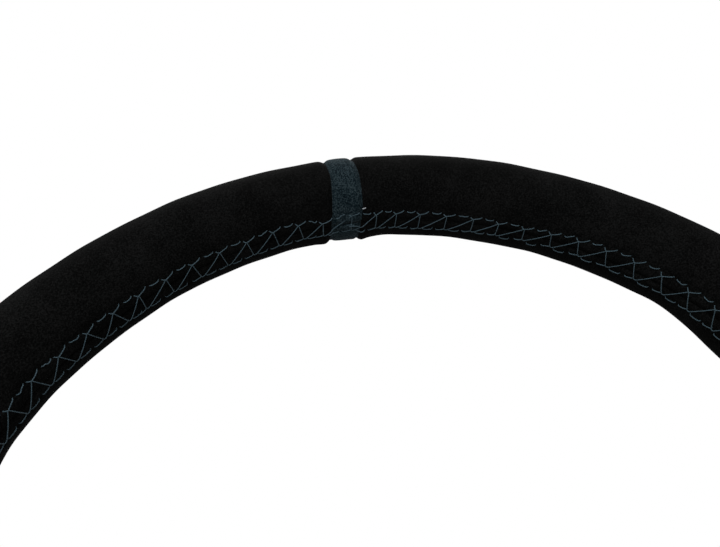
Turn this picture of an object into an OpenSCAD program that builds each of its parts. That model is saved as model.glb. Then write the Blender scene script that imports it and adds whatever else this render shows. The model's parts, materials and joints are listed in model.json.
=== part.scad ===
// Deep-dish steering wheel on a ball-lock quick-release hub.
// The wheel turns about the Y axis. Y = 0 is the mouth of the column bore, the driver sits on
// the -Y side, and the centre band marks 12 o'clock at +Z.
// Every module is drawn with its axis along Z, from the column towards the driver, and
// on_axis() lays that axis along -Y.

/* [Rim] */
// Overall diameter of the wheel
wheel_d = 350; // [344:1:356]
// Diameter of the padded grip
grip_d = 34; // [32:1:36]
// From the mounting face to the front of the grip
dish = 110; // [106:1:112]
// Diameter of the metal ring inside the grip
core_d = 11; // [9:0.5:13]

/* [Cover] */
// Thickness of the suede
suede_t = 1.2; // [1:0.1:1.6]
// Width of the band at 12 o'clock
band_w = 14; // [12:0.5:18]
// Width of the laced seam on the inside of the grip
seam_w = 10; // [8:0.5:12]
// Where the seam is centred round the grip: 90 faces the driver and 180 the hub
seam_at = 170; // [166:1:176]

/* [Spokes] */
// Thickness of the spoke plate
plate_t = 4; // [3.6:0.1:4.4]
// Width of a spoke where it meets the centre plate
spoke_hub_w = 52; // [48:1:56]
// Width of a spoke at its waist
spoke_waist_w = 34; // [32:1:40]
// Width of a spoke where it enters the grip
spoke_rim_w = 44; // [40:1:50]
// How far the spokes at 3 and 9 o'clock hang below level, in degrees
spoke_drop = 8; // [0:1:10]

/* [Bolt circle] */
// Diameter of the circle of wheel screws
pcd = 70; // [69:0.5:71]
// Diameter of the centre plate and of the hub's head
head_d = 84; // [84:1:88]

/* [Quick release] */
// Bore for the steering column
column_bore_d = 19.2; // [18.8:0.1:20]
// Diameter of the spigot's pilot and locking rib
pilot_d = 30; // [29.8:0.1:30.2]
// Diameter of a locking ball
ball_d = 7; // [6.8:0.1:7.2]
// How far the collar is pulled to unlock
collar_stroke = 8; // [7:0.5:8]
// Overall diameter of the collar's lip
collar_d = 66; // [62:1:68]

/* [Horn button] */
// Diameter of the button's cap
cap_d = 47.6; // [46:0.2:48]
// How far the cap is pressed
horn_stroke = 2.5; // [2:0.1:2.5]

/* [Hidden] */
$fn = 96;

// Clearances
run = 0.08;     // between pieces that slide
seat = 0.05;    // between pieces that stay together
eps = 0.5;      // how far a cutting tool runs past a face

// Stations along the axis, from the mouth of the column bore
flange_s = [30, 36];
hub_rear_s = 36.2;
circlip_s = 38;
circlip_t = 1.5;
ball_s = 48;
spline_s = [55, 73];
head_s = [76, 88];
pocket_s = 79.5;
plate_s = head_s[1];
ring_s = plate_s + plate_t;
ring_t = 3.5;

// Column spigot
barrel_r = 17.5;
flange_r = 24;
column_bore_depth = 32;
wire_bore_r = 5;
grub_s = 12;
grub_r = 3;
o_ring_s = 40.5;
o_ring_r = 0.95;
chamfer = 1;

// Ball lock
pilot_r = pilot_d / 2;
ball_r = ball_d / 2;
ball_count = 6;
lock_depth = 2;                                // how deep a ball sits below the rib
ball_centre_r = pilot_r - lock_depth + ball_r; // where a locked ball's centre is
ball_travel = 2.16;                            // how far a ball moves out to unlock
cone_slope = ball_travel / collar_stroke;
rib_end_s = 52.3;
ramp_end_s = 54.8;                             // the ramp down from the rib to the spline's roots

// Spline: twelve straight-sided teeth, with the two at 12 o'clock joined as a master tooth
tooth_count = 12;
spline_tip_r = pilot_r - lock_depth - 0.3;
spline_root_r = spline_tip_r - 2;
tooth_tip_half = 6.5;
tooth_root_half = 8.5;
spline_gap = 0.08;

// Hub and collar
hub_r = ball_centre_r + ball_r - 0.5;
circlip_r = [hub_r - 0.9, 23.2];
collar_s = [36.8, 66];
collar_mouth_r = 24;
collar_guide_r = hub_r + run;
collar_step_s = circlip_s + circlip_t + 0.2;
spring_seat_s = 56.5;
spring_pocket_r = 24.6;
collar_body_r = 27.5;
collar_lip_r = collar_d / 2;
lip_s = 57;
scallop_count = 20;
scallop_r = 3.2;

// Rim
rim_r = (wheel_d - grip_d) / 2;
rim_s = head_s[1] + dish - grip_d / 2;
grip_r = grip_d / 2;
core_r = core_d / 2;
foam_r = grip_r - suede_t - seat;
band_half = asin(band_w / 2 / (rim_r + grip_r));
panel_gap = 0.12;                              // degrees left open at a panel's end
seam_half = seam_w / 2 / grip_r * 180 / PI;
thread_proud = 0.3;
thread_sink = 0.5;

// Spokes
spoke_clock = 90 + spoke_drop;                 // clock angle of the right-hand spoke
spoke_angles = [-spoke_drop, 180 + spoke_drop, 270];    // from 3 o'clock, turning left
spoke_slope = 53;
spoke_bend_r = 20;
spoke_start_r = 46;
spoke_root_r = 20;
spoke_waist_r = 96;
spoke_tip_s = rim_s + 2;
spoke_tip_r = rim_r - core_r + 1.5;
bend_steps = 8;
spoke_holes = [[-31, 8], [-6, 7], [16, 6]];    // distance along the climb from its middle, radius
slot_gap = 0.15;
spoke_clear = asin((spoke_rim_w / 2 + 1) / (rim_r - grip_r));   // half a spoke, in degrees

// Wheel screws, M5
screw_count = 6;
screw_r = 2.45;
screw_hole_r = 2.75;
screw_thread_r = 2.5;
screw_head_r = 4.9;
screw_head_h = 2.6;
screw_len = 16;

// Horn button
pocket_r = 28.2;
housing_r = [26.4, 27.9];
housing_s = [pocket_s + seat, 82];
cap_r = cap_d / 2;
cap_flange_r = 26.1;
cap_flange_s = ring_s - 0.1;
cap_flange_t = 2;
cap_wall = 2.5;
crown_s = ring_s + ring_t + 3.8;               // the top of the cap
edge_s = ring_s + ring_t + 0.6;                // its edge
skirt_r = [17, 20];                            // the skirt that carries the moving contact
contact_t = 1;
contact_s = housing_s[1] + seat + contact_t;   // the top of the fixed contact
skirt_s = contact_s + horn_stroke + 0.1 + contact_t + seat;
inlay_r = [11, 15];
inlay_t = 1.1;
blade = [0.8, 6.3, 6];                         // terminal blade: thickness, width, length
blade_x = 5;
foot_t = 0.6;
horn_spring_r = 9.2;

// ---------------------------------------------------------------- helpers

// Lays a piece drawn along Z on the wheel's axis.
module on_axis() {
    rotate([90, 0, 0]) children();
}

// A tube along the axis from station a to station b.
module tube(a, b, outer, inner) {
    difference() {
        translate([0, 0, a]) cylinder(h = b - a, r = outer);
        translate([0, 0, a - eps]) cylinder(h = b - a + 2 * eps, r = inner);
    }
}

// Copies spaced evenly round the axis, the first at angle from.
module around(count, from = 0) {
    for (i = [0 : count - 1]) rotate([0, 0, from + i * 360 / count]) children();
}

// A round bar along X, from radius a to radius b.
module radial_bar(a, b, r) {
    translate([a, 0, 0]) rotate([0, 90, 0]) cylinder(h = b - a, r = r);
}

// Part of the grip's ring, from clock angle p0 to p1, measured clockwise from 12 o'clock as the
// driver sees it. The child is the section, with its origin at the grip's centre.
module rim_arc(p0, p1) {
    translate([0, 0, rim_s]) rotate([0, 0, 90 - p1]) rotate_extrude(angle = p1 - p0)
        translate([rim_r, 0]) children();
}

// Part of the grip's section between radii r0 and r1, over the seam's width.
module seam_section(r0, r1) {
    steps = 8;
    angles = [for (i = [0 : steps]) seam_at - seam_half + 2 * seam_half * i / steps];
    polygon(concat(
        [for (a = angles) r1 * [cos(a), sin(a)]],
        [for (i = [steps : -1 : 0]) r0 * [cos(angles[i]), sin(angles[i])]]
    ));
}

// The spline's outline, larger by gap all round for the socket.
module spline_outline(gap) {
    tip = spline_tip_r + gap;
    root = spline_root_r + gap;
    spread = gap / spline_tip_r * 180 / PI;
    pitch = 360 / tooth_count;
    polygon([
        for (i = [0 : tooth_count - 1])
            let (at = 90 + pitch / 2 + i * pitch)
                each concat(
                    i == 0 ? [] : [root * [cos(at - tooth_root_half - spread), sin(at - tooth_root_half - spread)]],
                    [for (e = [-1, 1]) tip * [cos(at + e * (tooth_tip_half + spread)), sin(at + e * (tooth_tip_half + spread))]],
                    i == tooth_count - 1 ? [] : [root * [cos(at + tooth_root_half + spread), sin(at + tooth_root_half + spread)]]
                )
    ]);
}

// A closed coil spring from station a to station b, wound about the axis.
module coil(a, b, mean_r, wire_r, turns) {
    sides = 8;
    per_turn = 20;
    rings = turns * per_turn;
    closed = 0.75;
    // share of the lift at turn t: the end turns lie flat, one wire apart
    low = a + wire_r;
    high = b - wire_r;
    function lift(t) =
        t < closed ? low + t * 2 * wire_r :
        t > turns - closed ? high - (turns - t) * 2 * wire_r :
        low + closed * 2 * wire_r
            + (t - closed) / (turns - 2 * closed) * (high - low - 4 * closed * wire_r);
    points = [
        for (i = [0 : rings], j = [0 : sides - 1])
            let (t = i / per_turn, turn = 360 * t, side = 360 * j / sides,
                 r = mean_r + wire_r * cos(side))
                [r * cos(turn), r * sin(turn), lift(t) + wire_r * sin(side)]
    ];
    faces = concat(
        [[for (j = [0 : sides - 1]) j]],
        [for (i = [0 : rings - 1], j = [0 : sides - 1])
            let (k = (j + 1) % sides)
                [i * sides + j, (i + 1) * sides + j, (i + 1) * sides + k, i * sides + k]],
        [[for (j = [sides - 1 : -1 : 0]) rings * sides + j]]
    );
    polyhedron(points, faces);
}

// ---------------------------------------------------------------- column side

module column_spigot() {
    color("#8d9196") on_axis() difference() {
        union() {
            rotate_extrude() polygon([
                [0, 0], [barrel_r - chamfer, 0], [barrel_r, chamfer],
                [barrel_r, flange_s[0]], [flange_r - chamfer, flange_s[0]],
                [flange_r, flange_s[0] + chamfer], [flange_r, flange_s[1] - chamfer],
                [flange_r - chamfer, flange_s[1]], [pilot_r, flange_s[1]],
                [pilot_r, rib_end_s],
                [spline_root_r, ramp_end_s], [0, ramp_end_s]
            ]);
            intersection() {
                translate([0, 0, rib_end_s]) linear_extrude(spline_s[1] - rib_end_s)
                    spline_outline(0);
                rotate_extrude() polygon([
                    [0, rib_end_s], [spline_tip_r + 1, rib_end_s],
                    [spline_tip_r + 1, spline_s[1] - 2.5],
                    [spline_tip_r - 1.5, spline_s[1]], [0, spline_s[1]]
                ]);
            }
        }
        translate([0, 0, -eps]) cylinder(h = column_bore_depth + eps, r = column_bore_d / 2);
        translate([0, 0, 1]) cylinder(h = spline_s[1], r = wire_bore_r);
        // ball groove
        rotate_extrude() translate([ball_centre_r, ball_s]) circle(r = ball_r + 0.1);
        // groove for the O-ring
        rotate_extrude() translate([pilot_r - 2 * o_ring_r + 0.05, o_ring_s - 1.2])
            square([3, 2.4]);
        translate([0, 0, grub_s]) for (a = [0, 90])
            rotate([0, 0, a]) radial_bar(0, barrel_r + eps, grub_r);
    }
}

module column_grub_screws() {
    color("#2a2b2d") on_axis() translate([0, 0, grub_s]) for (a = [0, 90])
        rotate([0, 0, a]) difference() {
            radial_bar(column_bore_d / 2 + 0.3, barrel_r - 0.3, grub_r - seat);
            translate([barrel_r - 3.3, 0, 0]) rotate([0, 90, 0])
                cylinder(h = 3.5, r = 1.7, $fn = 6);
        }
}

module pilot_o_ring() {
    color("#161616") on_axis() rotate_extrude()
        translate([pilot_r - o_ring_r + 0.05, o_ring_s]) circle(r = o_ring_r, $fn = 24);
}

// ---------------------------------------------------------------- quick-release hub

module hub_barrel() {
    head_r = head_d / 2;
    color("#202124") on_axis() difference() {
        rotate_extrude() polygon([
            [0, hub_rear_s], [hub_r - chamfer, hub_rear_s], [hub_r, hub_rear_s + chamfer],
            [hub_r, head_s[0] - 2], [hub_r + 2, head_s[0]],
            [head_r - 2, head_s[0]], [head_r, head_s[0] + 2],
            [head_r, head_s[1]], [0, head_s[1]]
        ]);
        // pilot bore, then the splined socket right through
        translate([0, 0, hub_rear_s - eps])
            cylinder(h = spline_s[0] - hub_rear_s + eps, r = pilot_r + run);
        translate([0, 0, spline_s[0] - eps])
            linear_extrude(pocket_s - spline_s[0] + 2 * eps) spline_outline(spline_gap);
        translate([0, 0, pocket_s]) cylinder(h = head_s[1], r = pocket_r);
        // circlip groove
        tube(circlip_s - seat, circlip_s + circlip_t + seat, hub_r + 2, circlip_r[0] - seat);
        // the balls' holes, with a lip inside that keeps each ball in
        translate([0, 0, ball_s]) around(ball_count) {
            radial_bar(pilot_r + 0.3, hub_r + 1, ball_r + seat);
            radial_bar(pilot_r - 2, pilot_r + 1, ball_r - 0.2);
        }
        around(screw_count, 30) translate([pcd / 2, 0, head_s[0] - eps])
            cylinder(h = head_s[1] - head_s[0] + 2 * eps, r = screw_thread_r, $fn = 32);
    }
}

module collar_circlip() {
    gap = 24;
    color("#9a9da1") on_axis() rotate([0, 0, 270 + gap / 2]) translate([0, 0, circlip_s])
        rotate_extrude(angle = 360 - gap) translate([circlip_r[0], 0])
            square([circlip_r[1] - circlip_r[0], circlip_t]);
}

module collar_spring() {
    color("#b4b7bb") on_axis()
        coil(spring_seat_s + 0.15, head_s[0] - 0.15, 22.3, 0.9, 6);
}

module release_collar() {
    cone_small_s = ball_s + (ball_centre_r + (ball_r + seat) * sqrt(1 + pow(cone_slope, 2))
        - collar_guide_r) / cone_slope;
    cone_large_r = collar_guide_r + (cone_small_s - collar_step_s) * cone_slope;
    color("#4a5a66") on_axis() difference() {
        rotate_extrude() polygon([
            [collar_mouth_r, collar_s[0]], [collar_body_r - chamfer, collar_s[0]],
            [collar_body_r, collar_s[0] + chamfer], [collar_body_r, lip_s - 5],
            [collar_body_r + 1, lip_s - 2], [collar_lip_r - chamfer, lip_s],
            [collar_lip_r, lip_s + chamfer], [collar_lip_r, collar_s[1] - chamfer],
            [collar_lip_r - chamfer, collar_s[1]], [spring_pocket_r, collar_s[1]],
            [spring_pocket_r, spring_seat_s], [collar_guide_r, spring_seat_s],
            [collar_guide_r, cone_small_s], [cone_large_r, collar_step_s],
            [collar_mouth_r, collar_step_s]
        ]);
        around(scallop_count) translate([collar_lip_r + scallop_r - 1.3, 0, lip_s - 4])
            cylinder(h = collar_s[1] - lip_s + 8, r = scallop_r, $fn = 32);
        // two sighting grooves round the body
        for (s = [42, 45]) tube(s, s + 0.8, collar_body_r + 2, collar_body_r - 0.5);
    }
}

module lock_ball(i) {
    color("#c9ccd0") on_axis() rotate([0, 0, (i - 1) * 360 / ball_count])
        translate([ball_centre_r, 0, ball_s]) sphere(r = ball_r, $fn = 32);
}

// ---------------------------------------------------------------- wheel frame

// The mid-line of a spoke in its radial plane, from the edge of the flat plate: a bend up, a
// straight climb, a bend back and a flat end, as [radius, station, angle of climb].
function spoke_line() =
    let (rise = spoke_tip_s - (plate_s + plate_t / 2),
         climb = (rise - 2 * spoke_bend_r * (1 - cos(spoke_slope))) / sin(spoke_slope),
         r1 = spoke_start_r,
         s1 = plate_s + plate_t / 2,
         r2 = r1 + spoke_bend_r * sin(spoke_slope) + climb * cos(spoke_slope),
         s2 = s1 + spoke_bend_r * (1 - cos(spoke_slope)) + climb * sin(spoke_slope))
    concat(
        [for (i = [0 : bend_steps]) let (a = spoke_slope * i / bend_steps)
            [r1 + spoke_bend_r * sin(a), s1 + spoke_bend_r * (1 - cos(a)), a]],
        [for (i = [bend_steps : -1 : 0]) let (a = spoke_slope * i / bend_steps)
            [r2 + spoke_bend_r * (sin(spoke_slope) - sin(a)),
             s2 + spoke_bend_r * (cos(a) - cos(spoke_slope)), a]],
        [[spoke_tip_r, spoke_tip_s, 0]]
    );

// The spoke's side view, extruded across it.
module spoke_side_view() {
    line = spoke_line();
    n = len(line);
    function edge(i, side) = [
        line[i][0] - side * plate_t / 2 * sin(line[i][2]),
        line[i][1] + side * plate_t / 2 * cos(line[i][2])
    ];
    rotate([90, 0, 0]) translate([0, 0, -spoke_hub_w])
        linear_extrude(2 * spoke_hub_w) polygon(concat(
            [for (i = [0 : n - 1]) edge(i, 1)],
            [for (i = [n - 1 : -1 : 0]) edge(i, -1)]
        ));
}

// Half the spoke's width at a radius: wide at the hub, a waist, and wider again at the grip.
function spoke_half(r) =
    let (inner = r < spoke_waist_r,
         end_r = inner ? spoke_root_r : spoke_tip_r,
         end_w = inner ? spoke_hub_w : spoke_rim_w,
         t = (r - spoke_waist_r) / (end_r - spoke_waist_r))
    (spoke_waist_w + (end_w - spoke_waist_w) * (1 - cos(90 * t))) / 2;

// The spoke's front view between two radii.
module spoke_front_view(r0, r1, steps) {
    radii = [for (i = [0 : steps]) r0 + (r1 - r0) * i / steps];
    polygon(concat(
        [for (r = radii) [r, spoke_half(r)]],
        [for (i = [steps : -1 : 0]) [radii[i], -spoke_half(radii[i])]]
    ));
}

module spoke() {
    line = spoke_line();
    a = line[bend_steps];
    b = line[bend_steps + 1];
    centre = [(a[0] + b[0]) / 2, 0, (a[1] + b[1]) / 2];
    difference() {
        intersection() {
            spoke_side_view();
            translate([0, 0, plate_s - plate_t])
                linear_extrude(spoke_tip_s - plate_s + 3 * plate_t)
                    spoke_front_view(spoke_start_r, spoke_tip_r, 14);
        }
        // lightening holes, square to the climb
        for (h = spoke_holes)
            translate(centre + h[0] * [cos(spoke_slope), 0, sin(spoke_slope)])
                rotate([0, -spoke_slope, 0]) translate([0, 0, -plate_t])
                    cylinder(h = 2 * plate_t, r = h[1], $fn = 48);
    }
}

module spoke_frame() {
    color("#1c1c1e") on_axis() {
        // the flat plate in the middle, out to where the spokes begin to bend
        translate([0, 0, plate_s]) linear_extrude(plate_t) difference() {
            union() {
                circle(r = head_d / 2);
                for (a = spoke_angles) rotate([0, 0, a])
                    spoke_front_view(spoke_root_r, spoke_start_r, 4);
            }
            circle(r = pocket_r);
            around(screw_count, 30) translate([pcd / 2, 0]) circle(r = screw_hole_r, $fn = 32);
        }
        for (a = spoke_angles) rotate([0, 0, a]) spoke();
    }
}

module trim_ring() {
    inner = cap_r + 0.5;
    outer = head_d / 2 - 1;
    color("#17181a") on_axis() difference() {
        rotate_extrude() polygon([
            [inner, ring_s], [outer, ring_s], [outer, ring_s + ring_t - 1],
            [outer - 1, ring_s + ring_t], [inner + 0.6, ring_s + ring_t],
            [inner, ring_s + ring_t - 0.6]
        ]);
        around(screw_count, 30) translate([pcd / 2, 0, ring_s]) {
            translate([0, 0, -eps]) cylinder(h = ring_t + 2 * eps, r = screw_hole_r, $fn = 32);
            translate([0, 0, ring_t - screw_head_h])
                cylinder(h = screw_head_h + 0.01, r1 = screw_hole_r, r2 = screw_head_r + 0.3, $fn = 32);
        }
    }
}

module wheel_screws() {
    top = ring_s + ring_t - 0.15;
    color("#55585c") on_axis() around(screw_count, 30) translate([pcd / 2, 0, top]) difference() {
        union() {
            translate([0, 0, -screw_len]) cylinder(h = screw_len, r = screw_r, $fn = 32);
            translate([0, 0, -screw_head_h])
                cylinder(h = screw_head_h, r1 = screw_r, r2 = screw_head_r, $fn = 32);
        }
        translate([0, 0, -2]) cylinder(h = 2 + eps, r = 1.73, $fn = 6);
    }
}

// ---------------------------------------------------------------- horn button

module horn_housing() {
    color("#141414") on_axis() difference() {
        translate([0, 0, housing_s[0]]) cylinder(h = ring_s - housing_s[0] - seat, r = housing_r[1]);
        translate([0, 0, housing_s[1]]) cylinder(h = ring_s, r = housing_r[0]);
        // slots for the blades, and a groove for the live terminal's foot
        for (x = [-blade_x, blade_x])
            translate([x - blade[0] / 2 - seat, -blade[1] / 2 - seat, housing_s[0] - eps])
                cube([blade[0] + 2 * seat, blade[1] + 2 * seat, 3 + 2 * eps]);
        translate([blade_x, -blade[1] / 2 - seat, housing_s[1] - foot_t - seat])
            cube([20 - blade_x, blade[1] + 2 * seat, foot_t + eps]);
    }
}

module horn_contact_ring() {
    color("#c8a14a") on_axis()
        tube(contact_s - contact_t, contact_s, 24, 14);
}

// Two blade terminals. The live one's foot runs under the fixed contact, and the other's lies
// under the spring.
module horn_terminals() {
    feet = [[blade_x, 19 - blade_x, housing_s[1] - foot_t],
            [-blade_x, -7, housing_s[1] + seat]];
    color("#c8a14a") on_axis() for (f = feet) translate([0, -blade[1] / 2, 0]) {
        translate([f[0] - blade[0] / 2, 0, f[2] + foot_t - blade[2]])
            cube([blade[0], blade[1], blade[2]]);
        translate([min(f[0], f[0] + f[1]), 0, f[2]]) cube([abs(f[1]), blade[1], foot_t]);
    }
}

module horn_spring() {
    color("#b4b7bb") on_axis()
        coil(housing_s[1] + foot_t + 2 * seat, crown_s - cap_wall - 2 * seat, horn_spring_r, 0.5, 6);
}

module horn_cap() {
    steps = 10;
    inside_r = cap_r - cap_wall;
    flange_low_s = cap_flange_s - cap_flange_t;
    // a crowned face that falls away to a rounded edge
    crown_r = [for (i = [0 : steps]) cap_r * sin(90 * i / steps)];
    color("#121213") on_axis() difference() {
        rotate_extrude() polygon(concat(
            [for (r = crown_r)
                [r, edge_s + (crown_s - edge_s) * sqrt(max(0, 1 - pow(r / cap_r, 2.6)))]],
            [[cap_r, cap_flange_s], [cap_flange_r, cap_flange_s], [cap_flange_r, flange_low_s],
             [inside_r, flange_low_s], [inside_r, edge_s - 2], [skirt_r[1], edge_s - 1.3],
             [skirt_r[1], skirt_s], [skirt_r[0], skirt_s],
             [skirt_r[0], crown_s - cap_wall], [0, crown_s - cap_wall]]
        ));
        // recess for the inlay ring
        translate([0, 0, crown_s - inlay_t - seat]) rotate_extrude() translate([inlay_r[0], 0])
            square([inlay_r[1] - inlay_r[0], 2 * inlay_t]);
    }
}

module horn_cap_ring() {
    color("#8a9096") on_axis()
        tube(crown_s - inlay_t, crown_s - 0.1, inlay_r[1] - seat, inlay_r[0] + seat);
}

module horn_contact_disc() {
    color("#c8a14a") on_axis() tube(skirt_s - seat - contact_t, skirt_s - seat, 22, 14.5);
}

// ---------------------------------------------------------------- rim

module rim_core_ring() {
    color("#6f7377") on_axis() translate([0, 0, rim_s]) rotate_extrude()
        translate([rim_r, 0]) circle(r = core_r, $fn = 48);
}

// The slots where the spokes pass through the foam and the cover.
module spoke_slots(gap) {
    for (a = spoke_angles) rotate([0, 0, a])
        translate([rim_r - grip_r - 5, -spoke_rim_w / 2 - gap, spoke_tip_s - plate_t / 2 - gap])
            cube([grip_r + 5, spoke_rim_w + 2 * gap, plate_t + 2 * gap]);
}

module rim_foam() {
    color("#30302e") on_axis() difference() {
        translate([0, 0, rim_s]) rotate_extrude() translate([rim_r, 0]) difference() {
            circle(r = foam_r);
            circle(r = core_r + seat, $fn = 48);
        }
        spoke_slots(slot_gap);
    }
}

// One panel of the cover, from clock angle p0 to p1, recessed along the seam.
module suede_panel(p0, p1) {
    color("#0d0d0e") on_axis() difference() {
        rim_arc(p0 + panel_gap, p1 - panel_gap) difference() {
            circle(r = grip_r);
            circle(r = grip_r - suede_t);
            seam_section(grip_r - thread_sink - seat, grip_r + 1);
        }
        spoke_slots(slot_gap);
    }
}

module suede_upper_right() suede_panel(band_half, spoke_clock);
module suede_lower_right() suede_panel(spoke_clock, 180);
module suede_lower_left() suede_panel(180, 360 - spoke_clock);
module suede_upper_left() suede_panel(360 - spoke_clock, 360 - band_half);

module centre_band() {
    color("#33424c") on_axis() rim_arc(-band_half, band_half) difference() {
        circle(r = grip_r);
        circle(r = grip_r - suede_t);
        seam_section(grip_r - thread_sink - seat, grip_r + 1);
    }
}

// The laced thread of one panel, which stops short of the spokes.
module seam(p0, p1) {
    color("#3f5563") on_axis() rim_arc(p0 + panel_gap, p1 - panel_gap)
        seam_section(grip_r - thread_sink, grip_r + thread_proud);
}

module seam_upper_right() seam(band_half, spoke_clock - spoke_clear);
module seam_lower_right() seam(spoke_clock + spoke_clear, 180 - spoke_clear);
module seam_lower_left() seam(180 + spoke_clear, 360 - spoke_clock - spoke_clear);
module seam_upper_left() seam(360 - spoke_clock + spoke_clear, 360 - band_half);
module seam_band() seam(-band_half, band_half);

// ---------------------------------------------------------------- nodes

column_spigot();
column_grub_screws();
pilot_o_ring();
hub_barrel();
collar_circlip();
collar_spring();
release_collar();
lock_ball(1);  // lock_ball_1
lock_ball(2);  // lock_ball_2
lock_ball(3);  // lock_ball_3
lock_ball(4);  // lock_ball_4
lock_ball(5);  // lock_ball_5
lock_ball(6);  // lock_ball_6
spoke_frame();
trim_ring();
wheel_screws();
horn_housing();
horn_contact_ring();
horn_terminals();
horn_spring();
horn_cap();
horn_cap_ring();
horn_contact_disc();
rim_core_ring();
rim_foam();
suede_upper_left();
suede_upper_right();
suede_lower_left();
suede_lower_right();
centre_band();
seam_upper_left();
seam_upper_right();
seam_lower_left();
seam_lower_right();
seam_band();
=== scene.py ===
"""Quick release steering wheel: the looks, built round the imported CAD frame.

The wheel turns about the Y axis and the driver sits on the -Y side. A place on the grip is given
by two angles in degrees: the clock angle runs clockwise from 12 o'clock as the driver sees it, and
the section angle runs round the grip, with 0 outward, 90 towards the driver and 180 towards the hub.
"""

import json

import bpy
import numpy as np
from mathutils import Matrix, Vector


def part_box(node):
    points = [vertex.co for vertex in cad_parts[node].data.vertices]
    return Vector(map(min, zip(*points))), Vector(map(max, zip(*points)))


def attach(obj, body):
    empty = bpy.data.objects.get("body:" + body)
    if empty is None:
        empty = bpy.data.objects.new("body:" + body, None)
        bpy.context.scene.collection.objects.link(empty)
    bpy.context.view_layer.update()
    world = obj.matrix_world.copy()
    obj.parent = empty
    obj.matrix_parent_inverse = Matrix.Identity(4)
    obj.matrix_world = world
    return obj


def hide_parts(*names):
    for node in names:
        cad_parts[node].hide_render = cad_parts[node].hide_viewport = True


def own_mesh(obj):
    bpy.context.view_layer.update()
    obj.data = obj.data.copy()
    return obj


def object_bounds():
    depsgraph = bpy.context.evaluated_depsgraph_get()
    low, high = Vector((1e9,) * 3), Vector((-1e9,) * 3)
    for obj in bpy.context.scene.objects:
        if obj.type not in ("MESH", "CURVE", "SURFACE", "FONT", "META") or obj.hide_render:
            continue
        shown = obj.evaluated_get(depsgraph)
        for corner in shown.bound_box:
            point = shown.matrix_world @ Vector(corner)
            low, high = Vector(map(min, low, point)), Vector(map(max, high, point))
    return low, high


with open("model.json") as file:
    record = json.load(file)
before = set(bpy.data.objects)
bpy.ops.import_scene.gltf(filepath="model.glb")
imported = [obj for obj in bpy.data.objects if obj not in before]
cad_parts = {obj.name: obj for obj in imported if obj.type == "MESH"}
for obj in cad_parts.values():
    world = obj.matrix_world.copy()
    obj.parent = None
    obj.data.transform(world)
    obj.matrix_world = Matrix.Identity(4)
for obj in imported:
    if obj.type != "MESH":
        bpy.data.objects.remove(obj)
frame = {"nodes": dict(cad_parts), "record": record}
cad_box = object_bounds()

MM = 0.001
SEED = 7

# ---------------------------------------------------------------- sizes from the frame
core_low, core_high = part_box("rim_core_ring")
RIM_Y = (core_low.y + core_high.y) / 2
CORE_R = (core_high.y - core_low.y) / 2
RIM_R = core_high.z - CORE_R
GRIP_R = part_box("centre_band")[1].z - RIM_R
FOAM_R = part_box("rim_foam")[1].z - RIM_R

# ---------------------------------------------------------------- the cover's measures
SEAM_AT = 173.0                   # section angle where the two edges of the suede meet
SPOKE_CLOCKS = (98.0, 180.0, 262.0)
SPOKE_HALF_W = 22 * MM
SPOKE_HALF_T = 2 * MM
SLOT_CLEAR = 0.25 * MM            # between a spoke's face and the edges that part for it
SLOT_TAPER = 5 * MM               # the length over which the edges close again
SEAM_HALF_GAP = 0.12 * MM
EDGE_ROLL = 0.75 * MM             # how far a cut edge turns down
EDGE_ROLL_W = 0.9 * MM
END_ROLL = 0.85 * MM              # the same at a panel's end
END_ROLL_W = 1.25 * MM
END_GAP = 0.1 * MM                # between a panel's end and its neighbour
BAND_CROWN = 0.4 * MM             # how far the band's middle stands up

# Stitches: two machine stitches in each row and one lacing loop, in each repeat. The angles of the
# rows and hooks are section angles, and a pitch is in degrees of clock angle
UPPER_ROW = 154.6
LOWER_ROW = 186.0
UPPER_HOOK = 161.0
LOWER_HOOK = 184.6
PITCH_RIGHT = 4.17
PITCH_LEFT = 4.45
FIRST_LOOP = 0.07                 # clock angle of the first hook right of 12 o'clock
STITCH_R = 0.21 * MM
LACING_R = 0.18 * MM
PLY_PITCH = 1.5 * MM              # length of one twist of the two strands


# ---------------------------------------------------------------- shape of the grip
def smooth(t):
    """Rises from 0 to 1 as t does, level at both ends."""
    t = np.clip(t, 0, 1)
    return t * t * (3 - 2 * t)


def bell(distance, width):
    return np.exp(-np.square(distance / width))


def rim_point(clock, section, radius):
    """Places on the grip, one row of x, y, z each."""
    clock, section = np.radians(clock), np.radians(section)
    reach = RIM_R + radius * np.cos(section)
    forward = RIM_Y - radius * np.sin(section)
    return np.stack([reach * np.sin(clock), forward, reach * np.cos(clock)], -1)


def thumb_pad(clock, section):
    """The swelling behind the grip at ten and two o'clock."""
    turned = (clock + 180) % 360 - 180
    right = smooth((turned - 48.5) / 19) * smooth((89 - turned) / 15)
    left = smooth((-turned - 58.6) / 15) * smooth((89 + turned) / 13)
    away = np.abs((section - 228 + 180) % 360 - 180)
    around = (0.5 + 0.5 * np.cos(np.radians(180 * np.clip(away / 80, 0, 1)))) ** 1.3
    return 5.5 * MM * (right + left) * around


def hand_work(clock, section):
    """The slight unevenness of a cover stretched on by hand."""
    c, s = np.radians(clock), np.radians(section)
    waves = (
        np.sin(17 * c + 1.3) * np.sin(2 * s + 0.4)
        + 0.7 * np.sin(31 * c + 2 * s)
        + 0.5 * np.sin(53 * c - 3 * s + 0.8)
    )
    turned = (clock + 180) % 360 - 180
    inner = smooth((np.cos(np.radians(section - 210)) + 0.1) / 0.9)
    outer = smooth((np.cos(np.radians(section - 50)) + 0.1) / 0.9)
    hub_side = 0.35 * bell(turned - 42, 9) + 0.35 * bell(turned + 37, 8) - 0.45 * bell(turned - 13, 7)
    road_side = 0.75 * bell(turned + 52, 8) + 0.25 * bell(turned - 14, 7) + 0.3 * bell(turned - 54, 5)
    return MM * (0.09 * waves + inner * hub_side + outer * road_side)


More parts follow.
